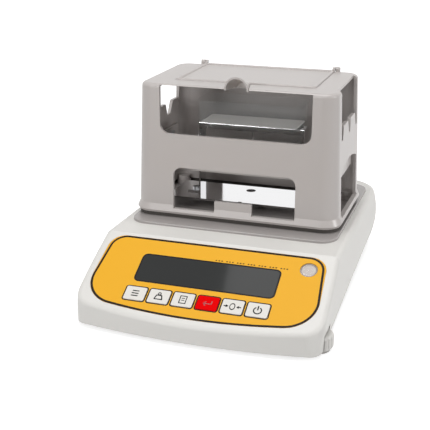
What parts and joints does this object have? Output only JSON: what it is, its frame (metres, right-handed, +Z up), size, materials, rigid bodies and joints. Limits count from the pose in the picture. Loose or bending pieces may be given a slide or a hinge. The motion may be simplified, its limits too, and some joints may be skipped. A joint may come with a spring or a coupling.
{
  "type": "benchtop density meter",
  "caption": "Electronic balance with a sloping key panel carrying a windowed measuring stand with lid, clear tray, water tank and weigh bridge.",
  "frame": {"origin": "middle of the object's footprint, on the table", "axes": "+X to the right as the operator sees it, -Y towards the operator, +Z up"},
  "size_m": [0.194, 0.2693, 0.1711],
  "materials": {
    "case_plastic": "fine grained off-white moulding",
    "panel_film": "satin printed film",
    "display_film": "smooth dark film",
    "display_case": "moulded",
    "key_plastic": "satin key cap",
    "key_red": "satin key cap",
    "circuit_board": "solder mask",
    "switch_plastic": "moulded",
    "level_shell": "moulded",
    "level_liquid": "clear liquid",
    "clear_plastic": "clear polished",
    "screw_steel": "plated",
    "battery_skin": "shrunk film",
    "brass": "turned",
    "socket_plastic": "moulded",
    "port_metal": "plated",
    "cell_alloy": "milled",
    "platform_paint": "smooth paint",
    "stand_plastic": "fine grained moulding",
    "foot_rubber": "moulded",
    "bright_steel": "polished"
  },
  "bodies": {
    "base": {"bottom_tray": "case_plastic", "top_case": "case_plastic", "battery_cover": "case_plastic", "front_panel": "panel_film", "display_lens": "display_film", "lcd_module": "display_case", "key_board": "circuit_board", "main_board": "circuit_board", "key_switches": "switch_plastic", "level_cup": "level_shell", "level_fluid": "level_liquid", "level_lens": "clear_plastic", "water_tank": "clear_plastic", "board_screws": "screw_steel", "case_screws": "screw_steel", "cell_screws": "screw_steel", "overload_stop": "screw_steel", "stand_screws": "screw_steel", "hinge_pins": "screw_steel", "shelf_screws": "screw_steel", "battery": "battery_skin", "foot_inserts": "brass", "dc_jack": "socket_plastic", "serial_port": "port_metal", "load_cell": "cell_alloy", "cell_bracket": "cell_alloy", "platform_plate": "platform_paint", "stand_rim": "stand_plastic", "stand_front": "stand_plastic", "stand_rear": "stand_plastic", "stand_side_left": "stand_plastic", "stand_side_right": "stand_plastic", "stand_roof": "stand_plastic", "tank_shelf": "stand_plastic", "stand_feet": "stand_plastic"},
    "weigh": {"load_spider": "cell_alloy", "spider_screws": "screw_steel", "hub_post": "cell_alloy", "weigh_plate": "bright_steel", "weigh_bridge": "bright_steel", "bridge_screws": "screw_steel", "sample_tray": "clear_plastic"},
    "lid": {"lid": "stand_plastic"},
    "basket": {"hanging_basket": "bright_steel"},
    "key_function": {"key_function": "key_plastic"},
    "key_calibrate": {"key_calibrate": "key_plastic"},
    "key_print": {"key_print": "key_plastic"},
    "key_enter": {"key_enter": "key_red"},
    "key_zero": {"key_zero": "key_plastic"},
    "key_power": {"key_power": "key_plastic"},
    "foot_front_left": {"foot_wheel_front_left": "case_plastic", "foot_pad_front_left": "foot_rubber"},
    "foot_front_right": {"foot_wheel_front_right": "case_plastic", "foot_pad_front_right": "foot_rubber"},
    "foot_rear_left": {"foot_wheel_rear_left": "case_plastic", "foot_pad_rear_left": "foot_rubber"},
    "foot_rear_right": {"foot_wheel_rear_right": "case_plastic", "foot_pad_rear_right": "foot_rubber"}
  },
  "joints": [
    {"name": "lid_hinge", "type": "hinge", "parent": "base", "child": "lid", "pos_m": [0, 0.0713, 0.1643], "axis": [-1, 0, 0], "range_deg": [0, 100]},
    {"name": "weigh_travel", "type": "slide", "parent": "base", "child": "weigh", "axis": [0, 0, -1], "range_m": [0, 0.0003], "stiffness_N_per_m": 10000, "springref_m": -0.0004},
    {"name": "basket_swing", "type": "hinge", "parent": "weigh", "child": "basket", "pos_m": [0, 0.0237, 0.1208], "axis": [0, 1, 0], "range_deg": [-4, 4]},
    {"name": "key_function_press", "type": "slide", "parent": "base", "child": "key_function", "axis": [0, 0.467, -0.8843], "range_m": [0, 0.0004], "stiffness_N_per_m": 2000, "springref_m": -0.0002},
    {"name": "key_calibrate_press", "type": "slide", "parent": "base", "child": "key_calibrate", "axis": [0, 0.467, -0.8843], "range_m": [0, 0.0004], "stiffness_N_per_m": 2000, "springref_m": -0.0002},
    {"name": "key_print_press", "type": "slide", "parent": "base", "child": "key_print", "axis": [0, 0.467, -0.8843], "range_m": [0, 0.0004], "stiffness_N_per_m": 2000, "springref_m": -0.0002},
    {"name": "key_enter_press", "type": "slide", "parent": "base", "child": "key_enter", "axis": [0, 0.467, -0.8843], "range_m": [0, 0.0004], "stiffness_N_per_m": 2000, "springref_m": -0.0002},
    {"name": "key_zero_press", "type": "slide", "parent": "base", "child": "key_zero", "axis": [0, 0.467, -0.8843], "range_m": [0, 0.0004], "stiffness_N_per_m": 2000, "springref_m": -0.0002},
    {"name": "key_power_press", "type": "slide", "parent": "base", "child": "key_power", "axis": [0, 0.467, -0.8843], "range_m": [0, 0.0004], "stiffness_N_per_m": 2000, "springref_m": -0.0002},
    {"name": "foot_front_left_turn", "type": "hinge", "parent": "base", "child": "foot_front_left", "pos_m": [-0.085, -0.105, 0], "axis": [0, 0, 1], "continuous": true},
    {"name": "foot_front_right_turn", "type": "hinge", "parent": "base", "child": "foot_front_right", "pos_m": [0.085, -0.105, 0], "axis": [0, 0, 1], "continuous": true},
    {"name": "foot_rear_left_turn", "type": "hinge", "parent": "base", "child": "foot_rear_left", "pos_m": [-0.0715, 0.1085, 0], "axis": [0, 0, 1], "continuous": true},
    {"name": "foot_rear_right_turn", "type": "hinge", "parent": "base", "child": "foot_rear_right", "pos_m": [0.0715, 0.1085, 0], "axis": [0, 0, 1], "continuous": true}
  ]
}
